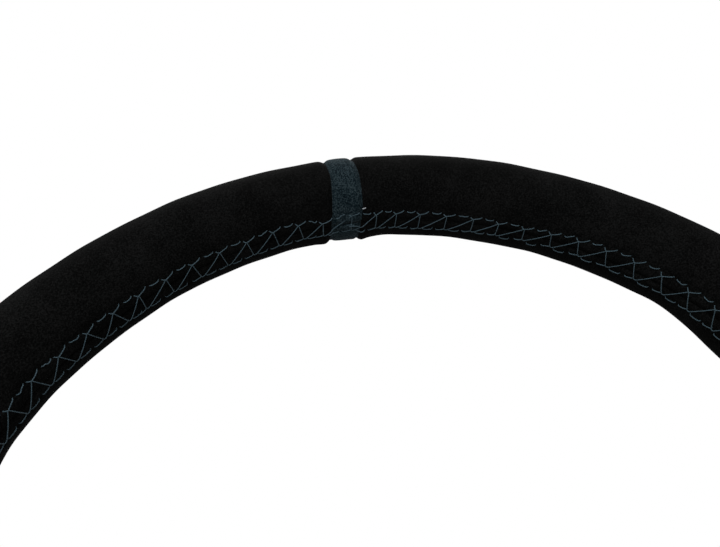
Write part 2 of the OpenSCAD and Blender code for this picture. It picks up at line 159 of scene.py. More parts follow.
def near_band(clock, section):
    """Beside the band the cover is drawn in on the hub's side, and its ends flare over the band,
    which lies lower."""
    turned = (clock + 180) % 360 - 180
    inner = smooth((np.cos(np.radians(section - 200)) + 0.1) / 0.9)
    drawn_in = 0.7 * bell(turned - 6.0, 2.6) + 0.3 * bell(turned + 9.0, 3.0)
    flare = 0.75 * bell(turned - 1.6, 1.1) + 0.35 * bell(turned + 4.2, 1.0)
    on_band = smooth((turned - band_edge(-1, section)) / 0.5 + 0.5)
    on_band = on_band * smooth((band_edge(1, section) - turned) / 0.5 + 0.5)
    return MM * (inner * (flare - drawn_in) - (0.2 + 0.55 * inner) * on_band)


def skin(clock, section):
    """Radius of the cover, before its seams and stitches."""
    return GRIP_R + thumb_pad(clock, section) + hand_work(clock, section) + near_band(clock, section)


def seam_half_gap(clock):
    """Half the opening between the two edges, which part to let each spoke through."""
    opening = 0
    for spoke in SPOKE_CLOCKS:
        away = np.abs((clock - spoke + 180) % 360 - 180)
        along = np.radians(away) * (RIM_R - GRIP_R)
        opening = np.maximum(opening, 1 - smooth((along - SPOKE_HALF_W - 0.4 * MM) / SLOT_TAPER))
    return SEAM_HALF_GAP + opening * (SPOKE_HALF_T + SLOT_CLEAR - SEAM_HALF_GAP)


def band_edge(side, section):
    """Clock angle of the band's left (-1) or right (1) edge: the band leans and isn't quite even."""
    at = (0, 45, 74, 100, 130, 155, 172, 200, 260, 360)
    left = (-2.3, -2.3, -2.2, -2.1, -2.45, -2.8, -3.1, -3.3, -2.9, -2.3)
    right = (1.7, 1.5, 1.85, 2.15, 2.2, 2.1, 1.75, 1.4, 1.5, 1.7)
    return np.interp(section % 360, at, right if side > 0 else left)


# ---------------------------------------------------------------- places of the stitches
def along_top(clock, clocks, values):
    """A listed value at a clock angle, joined straight between the clocks given."""
    return float(np.interp((clock + 180) % 360 - 180, clocks, values))


def lower_lag(clock):
    """How far a lower hook lies past its upper hook, in degrees."""
    return along_top(
        clock, (-60, -40, -36, -26, -8, -4, 0, 24, 37, 50),
        (1.5, 1.7, 0.4, 1.0, 0.7, 0, 0, 0, 0.7, 1.2))


def upper_hook(clock):
    """Section angle of an upper hook, which the lacing pulls down where it is tight."""
    return UPPER_HOOK + along_top(
        clock, (-60, -54, -46, -17, -12, -8, -4, 0, 5, 27, 31, 35, 44, 49, 58, 70),
        (0, -4, 0.5, 2, -0.5, 0.5, 4.5, 0, 2, 4.8, 4, 0.5, -1, -1, 2.5, 0))


def lower_hook(clock):
    """Section angle of a lower hook."""
    return LOWER_HOOK + along_top(
        clock, (-60, -54, -40, -22, -8, 5, 9, 17, 21, 38, 49, 58, 70),
        (0, -3.5, 0.5, 2.5, -0.5, 0, 3, 3, 0, -4.2, -3, 1.5, 0))


def stand_off(clock):
    """How far the upper machine stitches stand off the hooks: 1 is furthest."""
    turned = (clock + 180) % 360 - 180
    left = 0.3 * float(smooth((3 - turned) / 3))
    return 1 - left - 0.45 * float(bell(turned - 18, 16))


def loops(first, last, pitch, rng):
    """Clock angles of the upper hooks between two clock angles, with a hand's unevenness."""
    count = int((last - first) / pitch) + 1
    return [first + i * pitch + rng.uniform(-0.07, 0.07) for i in range(count)]


def drift(clock):
    """Where the loops are closer together or further apart than the pitch: beside the band they
    are closer, and the rest make up for it."""
    if clock > 0:
        early = -1.1 * smooth((clock - 4) / 7) * (1 - smooth((clock - 30) / 28))
        return float(early - 0.28 * bell(clock - 11, 5) + 0.2 * bell(clock - 20, 3))
    late = 0.45 * smooth((-clock - 6) / 6) * (1 - smooth((-clock - 42) / 9))
    uneven = -0.35 * bell(clock + 4, 2) + 0.1 * bell(clock + 11, 4) - 0.25 * bell(clock + 33, 5)
    return float(late + uneven)


rng = np.random.default_rng(SEED)
SPOKE_HALF_DEG = float(np.degrees(SPOKE_HALF_W / (RIM_R - GRIP_R))) + 0.6
RIGHT_SPOKE, BOTTOM_SPOKE, LEFT_SPOKE = SPOKE_CLOCKS
AFTER_SPOKE = SPOKE_HALF_DEG + 2
BEFORE_SPOKE = SPOKE_HALF_DEG + 4.2
LEFT_END = 360 - LEFT_SPOKE - SPOKE_HALF_DEG - 3.2
TOP_LEFT_LOOPS = [-c for c in loops(PITCH_LEFT - FIRST_LOOP, LEFT_END, PITCH_LEFT, rng)][::-1]
TOP_RIGHT_LOOPS = loops(FIRST_LOOP, RIGHT_SPOKE - BEFORE_SPOKE, PITCH_RIGHT, rng)
LOOPS = {
    "top": [c + drift(c) for c in TOP_LEFT_LOOPS + TOP_RIGHT_LOOPS],
    "lower_right": loops(RIGHT_SPOKE + AFTER_SPOKE, BOTTOM_SPOKE - BEFORE_SPOKE, PITCH_RIGHT, rng),
    "lower_left": loops(BOTTOM_SPOKE + AFTER_SPOKE, LEFT_SPOKE - BEFORE_SPOKE, PITCH_RIGHT, rng),
}


def machine_stitches(hooks, rng):
    """Each stitch as the clock and section angles that its thread passes, hole to hole."""
    stitches = []
    for at, following in zip(hooks, hooks[1:] + [2 * hooks[-1] - hooks[-2]]):
        upper, off, next_upper = upper_hook(at), stand_off(at), upper_hook(following)
        lower, foot, next_foot = lower_hook(at), at + lower_lag(at), following + lower_lag(following)
        next_lower = lower_hook(following)
        dip = 2 + 2.5 * float(smooth((at - 20) / 6)) + 2 * float(bell(at - 28, 4))
        step = (following - at) / PITCH_RIGHT

        def near(base, clock, section):
            return (base + clock * step + rng.uniform(-0.05, 0.05), section + rng.uniform(-0.35, 0.35))

        # upper row: one stitch that the hook pulls down, and one free
        stitches.append([
            near(at, -0.35, upper - 4.5 * off), near(at, 0.06, upper - 0.3),
            near(at, 0.75, upper - 3.2 * off), near(at, 1.5, upper - 7 * off)])
        stitches.append([
            near(at, 2.05, upper - 5 * off), near(at, 2.5, upper - 4.6 * off),
            near(following, -1.3, next_upper - 5 * off), near(following, -0.72, next_upper - 7 * off)])
        # lower row: one free stitch, and one pulled up to the next hook
        stitches.append([
            near(foot, 0.65, lower + dip), near(foot, 1.4, lower + dip + 0.8),
            near(foot, 2.35, lower + dip - 0.8)])
        stitches.append([
            near(next_foot, -1.38, next_lower + 2.8), near(next_foot, -0.7, next_lower + 1.8),
            near(next_foot, 0.04, next_lower)])
    return stitches


STITCHES = {run: machine_stitches(hooks, rng) for run, hooks in LOOPS.items()}
HOLES = np.array([end for run in STITCHES.values() for s in run for end in (s[0], s[-1])])


# ---------------------------------------------------------------- mesh helpers
def mesh_piece(name, verts, faces, material, body):
    """A smooth-shaded piece that rides on a body."""
    mesh = bpy.data.meshes.new(name)
    mesh.from_pydata(np.asarray(verts).tolist(), [], [list(map(int, f)) for f in faces])
    mesh.validate()
    mesh.polygons.foreach_set("use_smooth", np.ones(len(mesh.polygons), bool))
    mesh.update()
    piece = bpy.data.objects.new(name, mesh)
    bpy.context.scene.collection.objects.link(piece)
    mesh.materials.append(material)
    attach(piece, body)
    return piece


def grid_faces(rows, columns, wrap_rows=False):
    """Quads of a grid whose vertices run row by row."""
    last = rows if wrap_rows else rows - 1
    r, c = np.meshgrid(np.arange(last), np.arange(columns - 1), indexing="ij")
    a = r * columns + c
    b = ((r + 1) % rows) * columns + c
    return np.stack([a, b, b + 1, a + 1], -1).reshape(-1, 4).tolist()


# ---------------------------------------------------------------- suede
def strip_sections(edge_low, edge_high):
    """Shares of the way round the grip, closely spaced by the two edges and evenly between."""
    round_mm = (edge_high - edge_low) / 360 * 2 * np.pi * GRIP_R / MM
    close = np.concatenate([[0, 0.2, 0.45, 0.75, 1.1, 1.5, 2.0], np.arange(2.5, 12.1, 0.55)])
    middle = np.linspace(close[-1], round_mm - close[-1], int((round_mm - 2 * close[-1]) / 2.2))
    return np.concatenate([close, middle[1:-1], round_mm - close[::-1]]) / round_mm


def suede_relief(clock, section, low, high):
    """What seams and stitches do to the surface: turned edges, a channel and a dimple at each hole."""
    round_r = RIM_R + GRIP_R * np.cos(np.radians(section))
    from_edge = np.minimum(section - low, high - section) * np.pi / 180 * GRIP_R
    relief = -EDGE_ROLL * bell(from_edge, EDGE_ROLL_W)
    for row in (UPPER_ROW, LOWER_ROW):
        across = ((section - row + 180) % 360 - 180) * np.pi / 180 * GRIP_R
        relief -= 0.16 * MM * bell(across, 1.0 * MM)
    near = np.abs(((section - SEAM_AT) + 180) % 360 - 180) < 28
    turned = (clock[near] + 180) % 360 - 180
    lowest, highest = clock[near].min(), clock[near].max()
    holes = HOLES[((HOLES[:, 0] - lowest + 3) % 360) < (highest - lowest + 6)]
    dimple = np.zeros(near.sum())
    for hole_clock, hole_section in holes:
        along = np.radians((turned - hole_clock + 180) % 360 - 180) * round_r[near]
        close = np.abs(along) < 3 * MM
        across = np.radians((section[near][close] - hole_section + 180) % 360 - 180) * GRIP_R
        dimple[close] = np.maximum(dimple[close], bell(np.hypot(along[close], across), 0.8 * MM))
    relief[near] -= 0.42 * MM * dimple
    return relief


def suede_strip(name, start, end, step_mm, crown, material, node):
    """A closed strip of suede round the grip. start and end give its ends' clock angles for each
    section angle, and crown how far its middle stands up."""
    base_low, base_high = SEAM_AT, SEAM_AT + 360
    shares = strip_sections(base_low, base_high)
    middle_section = base_low + shares * 360
    span = np.radians(np.mean(end(middle_section) - start(middle_section))) * RIM_R / MM
    ends = np.array([0, 0.25, 0.55, 0.95, 1.4, 1.9, 2.5])
    count = max(3, int((span - 2 * ends[-1]) / step_mm))
    inner = np.linspace(ends[-1], span - ends[-1], count + 1)
    along = np.concatenate([ends, inner[1:-1], span - ends[::-1]]) / span
    u, v = np.meshgrid(along, shares, indexing="ij")
    rough_clock = start(base_low + v * 360) * (1 - u) + end(base_low + v * 360) * u
    gap = np.degrees(seam_half_gap(rough_clock) / GRIP_R)
    low, high = base_low + gap, base_high - gap
    section = low + v * (high - low)
    clock = start(section) * (1 - u) + end(section) * u
    from_end = np.minimum(u, 1 - u) * span * MM
    roll = END_ROLL * bell(from_end, END_ROLL_W)
    bulge = crown * (1 - np.square(2 * u - 1))
    relief = suede_relief(clock.ravel(), section.ravel(), low.ravel(), high.ravel())
    outer = skin(clock, section) + bulge + relief.reshape(u.shape) - roll
    under = FOAM_R + 0.04 * MM + thumb_pad(clock, section) * 0.98
    outer = np.maximum(outer, under + 0.12 * MM)
    upper_side = rim_point(clock, section, outer)
    under_side = rim_point(clock, section, under)[:, ::-1]
    shell = np.concatenate([upper_side, under_side], 1)
    rows, columns = shell.shape[:2]
    faces = grid_faces(rows, columns)
    first = np.arange(rows - 1) * columns
    lips = np.stack([first, first + columns - 1, first + 2 * columns - 1, first + columns], -1)
    faces += lips[:, ::-1].tolist()
    half = columns // 2
    for row, turn in ((0, 1), (rows - 1, -1)):
        for i in range(half - 1):
            a, b = row * columns + i, row * columns + i + 1
            c, d = row * columns + columns - 2 - i, row * columns + columns - 1 - i
            faces.append([a, b, c, d][::turn])
    piece = mesh_piece(name, shell.reshape(-1, 3), faces, material, "wheel")
    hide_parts(node)
    return piece


# ---------------------------------------------------------------- thread
def resample(points, spacing):
    """The same line with its points an even distance apart."""
    gaps = np.linalg.norm(np.diff(points, axis=0), axis=1)
    travelled = np.concatenate([[0], np.cumsum(gaps)])
    count = max(3, int(travelled[-1] / spacing))
    at = np.linspace(0, travelled[-1], count + 1)
    return np.stack([np.interp(at, travelled, points[:, i]) for i in range(3)], -1), at


def tube(points, radius, sides):
    """Vertices and faces of a closed round tube along points."""
    tangent = np.gradient(points, axis=0)
    tangent /= np.linalg.norm(tangent, axis=1, keepdims=True)
    normal = np.cross(tangent[0], [0.3, 0.5, 0.8])
    angles = np.arange(sides) * 2 * np.pi / sides
    verts = []
    for point, along in zip(points, tangent):
        normal = normal - along * np.dot(normal, along)
        normal /= np.linalg.norm(normal)
        side = np.cross(along, normal)
        ring = np.outer(np.cos(angles), normal) + np.outer(np.sin(angles), side)
        verts.append(point + radius * ring)
    verts = np.concatenate(verts)
    rings = len(points)
    faces = []
    for i in range(rings - 1):
        for j in range(sides):
            k = (j + 1) % sides
            faces.append([i * sides + j, i * sides + k, (i + 1) * sides + k, (i + 1) * sides + j])
    faces.append(list(range(sides))[::-1])
    faces.append([(rings - 1) * sides + j for j in range(sides)])
    return verts, faces


def plied(points, radius):
    """Two strands twisted together along points, as a list of vertices and faces."""
    line, at = resample(points, 0.32 * MM)
    tangent = np.gradient(line, axis=0)
    tangent /= np.linalg.norm(tangent, axis=1, keepdims=True)
    level = np.zeros(len(line))
    outward = line - rim_point(np.degrees(np.arctan2(line[:, 0], line[:, 2])), level, level)
    side = np.cross(tangent, outward)
    side /= np.linalg.norm(side, axis=1, keepdims=True)
    up = np.cross(side, tangent)
    strands = []
    for ply in range(2):
        turn = 2 * np.pi * at / PLY_PITCH + np.pi * ply
        offset = np.cos(turn)[:, None] * up + np.sin(turn)[:, None] * side
        strands.append(tube(line + 0.44 * radius * offset, 0.62 * radius, 6))
    return strands


def on_skin(knots, lift, dive):
    """A line over the cover through knots of clock and section angle. Its ends go down into their
    holes by dive."""
    knots = np.array(knots)
    share = np.linspace(0, 1, len(knots))
    fine = np.linspace(0, 1, 12 * (len(knots) - 1) + 1)
    clock, section = (np.interp(fine, share, knots[:, i]) for i in range(2))
    for _ in range(2):
        clock[1:-1] = (clock[:-2] + 2 * clock[1:-1] + clock[2:]) / 4
        section[1:-1] = (section[:-2] + 2 * section[1:-1] + section[2:]) / 4
    height = lift - dive * (bell(fine, 0.07) + bell(1 - fine, 0.07))
    return rim_point(clock, section, skin(clock, section) + height)


def lacing(hooks):
    """The lacing thread's knots: down to the lower hook, and on to the next upper hook."""
    knots = []
    for at in hooks:
        upper, lower, foot = upper_hook(at), lower_hook(at), at + lower_lag(at)
        knots += [(at - 0.12, upper + 0.7), (at + 0.02, upper - 1.1), (at + 0.16, upper + 0.6)]
        knots += [(foot - 0.05, lower - 0.7), (foot + 0.08, lower + 0.9), (foot + 0.4, lower + 0.9)]
    return knots


def lacing_line(knots):
    """The lacing thread, drawn straight from hook to hook, with its ends tucked in."""
    line = []
    for a, b in zip(knots, knots[1:]):
        share = np.linspace(0, 1, 14, endpoint=False)
        clock = a[0] + (b[0] - a[0]) * share
        section = a[1] + (b[1] - a[1]) * share
        line.append(np.stack([clock, section], -1))
    line = np.concatenate(line + [[knots[-1]]])
    for _ in range(3):
        line[1:-1] = (line[:-2] + 2 * line[1:-1] + line[2:]) / 4
    lift = np.full(len(line), 0.24 * MM)
    lift[:8] -= np.linspace(1.1, 0, 8) * MM
    lift[-8:] -= np.linspace(0, 1.1, 8) * MM
    return rim_point(line[:, 0], line[:, 1], skin(line[:, 0], line[:, 1]) + lift)


def thread_piece(name, lines, radius, material):
    verts, faces, used = [], [], 0
    for line in lines:
        for strand_verts, strand_faces in plied(line, radius):
            verts.append(strand_verts)
            faces += [[i + used for i in face] for face in strand_faces]
            used += len(strand_verts)
    return mesh_piece(name, np.concatenate(verts), faces, material, "wheel")


# ---------------------------------------------------------------- coil springs
def spring(name, node, mean_r, wire_r, turns, material):
    """A closed coil spring about the Y axis, which fills its CAD node's length."""
    low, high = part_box(node)
    front, back = low.y + wire_r, high.y - wire_r
    closed = 0.8
    t = np.linspace(0, turns, int(turns * 72))
    dead = closed * 2 * wire_r
    share = np.clip((t - closed) / (turns - 2 * closed), 0, 1)
    from_back = np.minimum(t, closed) * 2 * wire_r + share * (back - front - 2 * dead)
    from_back = from_back + np.clip(t - turns + closed, 0, closed) * 2 * wire_r
    angle = 2 * np.pi * t
    line = np.stack([mean_r * np.cos(angle), back - from_back, mean_r * np.sin(angle)], -1)
    verts, faces = tube(line, wire_r, 14)
    piece = mesh_piece(name, verts, faces, material, "wheel")
    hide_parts(node)
    return piece


# ---------------------------------------------------------------- materials
EDGE_BREAK = 0.35 * MM            # the small chamfer of a machined edge


def material(name):
    """A new material, with its node tree and its shader."""
    made = bpy.data.materials.new(name)
    made.use_nodes = True
    return made, made.node_tree, made.node_tree.nodes["Principled BSDF"]


def add(tree, kind, **inputs):
    node = tree.nodes.new(kind)
    for key, value in inputs.items():
        node.inputs[key.replace("_", " ")].default_value = value
    return node


def object_place(tree):
    return tree.nodes.new("ShaderNodeTexCoord").outputs["Object"]


def noise(tree, place, scale, detail=4.0, rough=0.55):
    node = add(tree, "ShaderNodeTexNoise", Scale=scale, Detail=detail, Roughness=rough)
    tree.links.new(place, node.inputs["Vector"])
    return node.outputs["Fac"]


def blend_values(tree, a, b, share):
    node = tree.nodes.new("ShaderNodeMix")
    node.inputs["Factor"].default_value = share
    tree.links.new(a, node.inputs["A"])
    tree.links.new(b, node.inputs["B"])
    return node.outputs["Result"]


def ramp(tree, value, stops):
    """A colour ramp whose stops are pairs of place and colour."""
    node = tree.nodes.new("ShaderNodeValToRGB")
    elements = node.color_ramp.elements
    elements[0].position, elements[0].color = stops[0][0], (*stops[0][1], 1)
    elements[1].position, elements[1].color = stops[-1][0], (*stops[-1][1], 1)
    for place, colour in stops[1:-1]:
        elements.new(place).color = (*colour, 1)
    tree.links.new(value, node.inputs["Fac"])
    return node.outputs["Color"]


def spread(tree, value, low, high):
    """Maps a value from the middle of its range to low and high."""
    node = add(tree, "ShaderNodeMapRange", From_Min=0.3, From_Max=0.7, To_Min=low, To_Max=high)
    tree.links.new(value, node.inputs["Value"])
    return node.outputs["Result"]


def bump(tree, shader, height, distance, strength=1.0, over=None):
    """Relief from a height, over the surface's own normal or the one given."""
    node = add(tree, "ShaderNodeBump", Strength=strength, Distance=distance)
    tree.links.new(height, node.inputs["Height"])
    if over:
        tree.links.new(over, node.inputs["Normal"])
    tree.links.new(node.outputs["Normal"], shader.inputs["Normal"])


def broken_edge(tree, colour, patches, bare):
    """A machined part's edges: the normal of a small chamfer, and the colour with its edges rubbed
    towards the bare one in patches."""
    rounded = add(tree, "ShaderNodeBevel", Radius=EDGE_BREAK)
    rounded.samples = 6
    turned = tree.nodes.new("ShaderNodeVectorMath")
    turned.operation = "DOT_PRODUCT"
    tree.links.new(rounded.outputs["Normal"], turned.inputs[0])
    tree.links.new(tree.nodes.new("ShaderNodeNewGeometry").outputs["Normal"], turned.inputs[1])
    worn = add(tree, "ShaderNodeMapRange", From_Min=0.995, From_Max=0.85)
    tree.links.new(turned.outputs["Value"], worn.inputs["Value"])
    share = tree.nodes.new("ShaderNodeMath")
    share.operation = "MULTIPLY"
    tree.links.new(worn.outputs["Result"], share.inputs[0])
    tree.links.new(spread(tree, patches, 0.15, 0.75), share.inputs[1])
    rubbed = add(tree, "ShaderNodeMixRGB", Color2=(*bare, 1))
    tree.links.new(share.outputs["Value"], rubbed.inputs["Fac"])
    tree.links.new(colour, rubbed.inputs["Color1"])
    return rounded.outputs["Normal"], rubbed.outputs["Color"]


def lathe_place(tree):
    """Coordinates that run along the axis and out from it, so that a noise draws turned rings."""
    parts = tree.nodes.new("ShaderNodeSeparateXYZ")
    tree.links.new(object_place(tree), parts.inputs[0])
    out = add(tree, "ShaderNodeCombineXYZ")
    length = tree.nodes.new("ShaderNodeVectorMath")
    length.operation = "LENGTH"
    flat = add(tree, "ShaderNodeCombineXYZ")
    tree.links.new(parts.outputs["X"], flat.inputs["X"])
    tree.links.new(parts.outputs["Z"], flat.inputs["Z"])
    tree.links.new(flat.outputs[0], length.inputs[0])
    tree.links.new(length.outputs["Value"], out.inputs["X"])
    tree.links.new(parts.outputs["Y"], out.inputs["Y"])
    return out.outputs[0]


def suede(name, dark, middle, light, sheen, tint, patchy, softness):
    """Napped leather: mottled fibres, patches where the nap lies another way, and a soft edge glow."""
    made, tree, shader = material(name)
    place = object_place(tree)
    fibres = noise(tree, place, 1700, 3, 0.7)
    patches = noise(tree, place, 70, 3, 0.6)
    mottle = blend_values(tree, fibres, patches, patchy)
    colour = ramp(tree, mottle, [(0.5 - softness, dark), (0.5, middle), (0.5 + softness, light)])
    tree.links.new(colour, shader.inputs["Base Color"])
    tree.links.new(spread(tree, fibres, 0.88, 1.0), shader.inputs["Roughness"])
    shader.inputs["Specular IOR Level"].default_value = 0.012
    shader.inputs["Sheen Weight"].default_value = sheen
    shader.inputs["Sheen Roughness"].default_value = 0.45
    shader.inputs["Sheen Tint"].default_value = (*tint, 1)
    fine = noise(tree, place, 2600, 5, 0.8)
    bump(tree, shader, blend_values(tree, fine, fibres, 0.5), 0.22 * MM, 0.8)
    return made


def thread_material(name, dark, light):
    """Waxed thread: fibres along the strands and a soft gloss."""
    made, tree, shader = material(name)
    place = object_place(tree)
    fibres = noise(tree, place, 4200, 4, 0.7)
    colour = ramp(tree, fibres, [(0.35, dark), (0.65, light)])
    tree.links.new(colour, shader.inputs["Base Color"])
    tree.links.new(spread(tree, fibres, 0.5, 0.75), shader.inputs["Roughness"])
    shader.inputs["Specular IOR Level"].default_value = 0.2
    shader.inputs["Sheen Weight"].default_value = 0.05
    bump(tree, shader, fibres, 0.05 * MM)
    return made


def metal(name, colour, rough, turned=False, wear=0.12):
    """Machined metal: faint tool marks, uneven gloss and small marks of use."""
    made, tree, shader = material(name)
    place = lathe_place(tree) if turned else object_place(tree)
    marks = noise(tree, place, 2400 if turned else 1260, 3, 0.6)
    stains = noise(tree, object_place(tree), 60, 5, 0.6)
    low = tuple(c * (1 - wear) for c in colour)
    high = tuple(min(1, c * (1 + wear)) for c in colour)
    colour = ramp(tree, stains, [(0.3, low), (0.7, high)])
    bare = tuple(min(1, 0.1 + 1.25 * c) for c in high)
    edge, colour = broken_edge(tree, colour, marks, bare)
    tree.links.new(colour, shader.inputs["Base Color"])
    gloss = blend_values(tree, marks, stains, 0.5)
    tree.links.new(spread(tree, gloss, rough * 0.75, min(1, rough * 1.3)), shader.inputs["Roughness"])
    shader.inputs["Metallic"].default_value = 1
    bump(tree, shader, marks, 0.02 * MM, 0.6, over=edge)
    return made


def anodised(name, colour, rough):
    """Anodised aluminium: a dyed layer over a bead-blasted surface."""
    made, tree, shader = material(name)
    place = object_place(tree)
    grain = noise(tree, place, 3200, 3, 0.6)
    stains = noise(tree, place, 45, 4, 0.6)
    low, high = tuple(c * 0.82 for c in colour), tuple(c * 1.2 for c in colour)
    colour = ramp(tree, stains, [(0.3, low), (0.7, high)])
    bare = tuple(0.09 + 1.6 * c for c in high)
    edge, colour = broken_edge(tree, colour, stains, bare)
    tree.links.new(colour, shader.inputs["Base Color"])
    tree.links.new(spread(tree, stains, rough * 0.85, rough * 1.15), shader.inputs["Roughness"])
    shader.inputs["Metallic"].default_value = 0.75
    shader.inputs["Coat Weight"].default_value = 0.12
    shader.inputs["Coat Roughness"].default_value = 0.35
    bump(tree, shader, grain, 0.035 * MM, 0.7, over=edge)
    return made


def moulded(name, colour, rough, grain, depth):
    """Moulded plastic, rubber or foam, with a fine grain."""
    made, tree, shader = material(name)
    place = object_place(tree)
    texture = noise(tree, place, grain, 3, 0.5)
    dust = noise(tree, place, 90, 5, 0.65)
    low, high = tuple(c * 0.8 for c in colour), tuple(c * 1.35 for c in colour)
    tree.links.new(ramp(tree, dust, [(0.3, low), (0.7, high)]), shader.inputs["Base Color"])
    tree.links.new(spread(tree, dust, rough * 0.88, min(1, rough * 1.12)), shader.inputs["Roughness"])
    shader.inputs["Specular IOR Level"].default_value = 0.35
    bump(tree, shader, texture, depth, 0.8)
    return made


MATERIALS = {
    "spigot_steel": metal("spigot_steel", (0.50, 0.51, 0.53), 0.34, turned=True),
    "black_screw": metal("black_screw", (0.075, 0.075, 0.08), 0.42),
    "o_ring_rubber": moulded("o_ring_rubber", (0.018, 0.018, 0.018), 0.5, grain=2600, depth=0.03 * MM),
    "hub_black": anodised("hub_black", (0.030, 0.030, 0.033), 0.38),
    "circlip_steel": metal("circlip_steel", (0.30, 0.30, 0.31), 0.36),
    "spring_steel": metal("spring_steel", (0.58, 0.59, 0.61), 0.24),
    "collar_blue_grey": anodised("collar_blue_grey", (0.070, 0.115, 0.150), 0.33),
    "ball_steel": metal("ball_steel", (0.74, 0.74, 0.76), 0.08, wear=0.04),
    "spoke_black": anodised("spoke_black", (0.026, 0.026, 0.028), 0.46),
    "screw_steel": metal("screw_steel", (0.34, 0.34, 0.35), 0.3),
    "housing_plastic": moulded(
        "housing_plastic", (0.022, 0.022, 0.022), 0.55, grain=2200, depth=0.03 * MM),
    "contact_brass": metal("contact_brass", (0.76, 0.55, 0.24), 0.24),
    "cap_plastic": moulded("cap_plastic", (0.014, 0.014, 0.015), 0.5, grain=2800, depth=0.05 * MM),
    "inlay_alu": metal("inlay_alu", (0.52, 0.55, 0.58), 0.3, turned=True),
    "core_alu": metal("core_alu", (0.42, 0.43, 0.44), 0.42),
    "foam": moulded("foam", (0.004, 0.004, 0.004), 0.95, grain=1400, depth=0.25 * MM),
    "suede_black": suede(
        "suede_black", (0.0012, 0.0012, 0.0012), (0.0030, 0.0031, 0.0030), (0.0068, 0.0069, 0.0068),
        sheen=0.004, tint=(0.85, 0.85, 0.85), patchy=0.22, softness=0.1),
    "suede_blue_grey": suede(
        "suede_blue_grey", (0.0015, 0.0045, 0.0065), (0.0080, 0.0150, 0.0185), (0.024, 0.036, 0.041),
        sheen=0.05, tint=(0.75, 0.85, 0.9), patchy=0.15, softness=0.07),
    "thread_blue_grey": thread_material(
        "thread_blue_grey", (0.023, 0.043, 0.054), (0.057, 0.094, 0.114)),
    # Pale thread colour for the loose end: a painted glint, light caught by the thread painted into its
    # colour
    "thread_painted_glint": thread_material("thread_painted_glint", (0.30, 0.32, 0.34), (0.62, 0.64, 0.66)),
}

for row in frame["record"]["subparts"]:
    node = frame["nodes"][row["node"]]
    node.data.materials.clear()
    node.data.materials.append(MATERIALS[row["material_slot"]])


# ---------------------------------------------------------------- the cover and its thread
def at_clock(clock, offset_mm=0.0):
    """An end square to the grip at a clock angle."""
    shift = np.degrees(offset_mm * MM / RIM_R)
    return lambda section: np.full(np.shape(section), clock + shift, float)


def at_band(side, offset_mm=0.0):
    """An end along one side of the band, which leans."""
    shift = np.degrees(offset_mm * MM / RIM_R)
    return lambda section: band_edge(side, section) + shift


black, blue_grey = MATERIALS["suede_black"], MATERIALS["suede_blue_grey"]
GAP_MM = END_GAP / MM
# Each panel: its start and end, its mesh's step in mm, and the CAD node that it replaces
PANELS = [
    ("suede_cover_upper_right",
     at_band(1, GAP_MM), at_clock(RIGHT_SPOKE, -GAP_MM), 0.85, "suede_upper_right"),
    ("suede_cover_lower_right",
     at_clock(RIGHT_SPOKE, GAP_MM), at_clock(BOTTOM_SPOKE, -GAP_MM), 1.1, "suede_lower_right"),
    ("suede_cover_lower_left",
     at_clock(BOTTOM_SPOKE, GAP_MM), at_clock(LEFT_SPOKE, -GAP_MM), 1.1, "suede_lower_left"),
    ("suede_cover_upper_left",
     at_clock(LEFT_SPOKE - 360, GAP_MM), at_band(-1, -GAP_MM), 0.85, "suede_upper_left"),
]
for name, start, end, step, node in PANELS:
    suede_strip(name, start, end, step, 0.0, black, node)
suede_strip("centre_band_suede", at_band(-1), at_band(1), 0.6, BAND_CROWN, blue_grey, "centre_band")

thread = MATERIALS["thread_blue_grey"]


def stitches_between(run, low, high):
    """The stitches of a run whose middle is between two clock angles."""
    found = []
    for stitch in STITCHES[run]:
        middle = (stitch[0][0] + stitch[-1][0]) / 2
        if low <= middle < high:
            found.append(on_skin(stitch, lift=0.2 * MM, dive=0.75 * MM))
    return found


BAND_LEFT, BAND_RIGHT = -3.3, 1.1
STITCH_RUNS = [
    ("stitches_upper_left", "top", -180, BAND_LEFT, "seam_upper_left"),
    ("stitches_band", "top", BAND_LEFT, BAND_RIGHT, "seam_band"),
    ("stitches_upper_right", "top", BAND_RIGHT, 180, "seam_upper_right"),
    ("stitches_lower_right", "lower_right", 0, 360, "seam_lower_right"),
    ("stitches_lower_left", "lower_left", 0, 360, "seam_lower_left"),
]
for name, run, low, high, node in STITCH_RUNS:
    piece = thread_piece(name, stitches_between(run, low, high), STITCH_R, thread)
    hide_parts(node)
for run, hooks in LOOPS.items():
    thread_piece("lacing_" + run, [lacing_line(lacing(hooks))], LACING_R, thread)


def loose_line(knots):
    """A short free line through knots of clock angle, section angle and height over the cover in mm."""
    knots = np.array(knots)
    share = np.linspace(0, 1, len(knots))
    fine = np.linspace(0, 1, 10 * (len(knots) - 1) + 1)
    clock, section, lift = (np.interp(fine, share, knots[:, i]) for i in range(3))
    for values in (clock, section, lift):
        for _ in range(6):
            values[1:-1] = (values[:-2] + 2 * values[1:-1] + values[2:]) / 4
    return rim_point(clock, section, skin(clock, section) + lift * MM)


# The lacing starts and ends in a knot on the band, and one end of the thread sticks out beside it,
# coloured pale: a painted glint
BAND_KNOT = [(-0.7, 176.5, -0.3), (-0.3, 174.5, 0.45), (0.3, 173.8, 0.7), (0.6, 176.0, 0.5),
             (0.1, 178.2, 0.35), (-0.35, 176.6, 0.8), (0.2, 175.2, 1.0), (1.0, 176.4, 0.6),
             (1.35, 178.0, 0.2), (1.5, 178.6, -0.4)]
LOOSE_END = [(2.05, 151.4, -0.4), (2.15, 150.6, 0.35), (2.35, 149.7, 0.8), (2.5, 149.0, 1.1)]
thread_piece("lacing_knot", [loose_line(BAND_KNOT)], LACING_R, thread)
# The loose end is real thread, but its pale colour is a painted glint
thread_piece("loose_thread_end", [loose_line(LOOSE_END)], STITCH_R, MATERIALS["thread_painted_glint"])

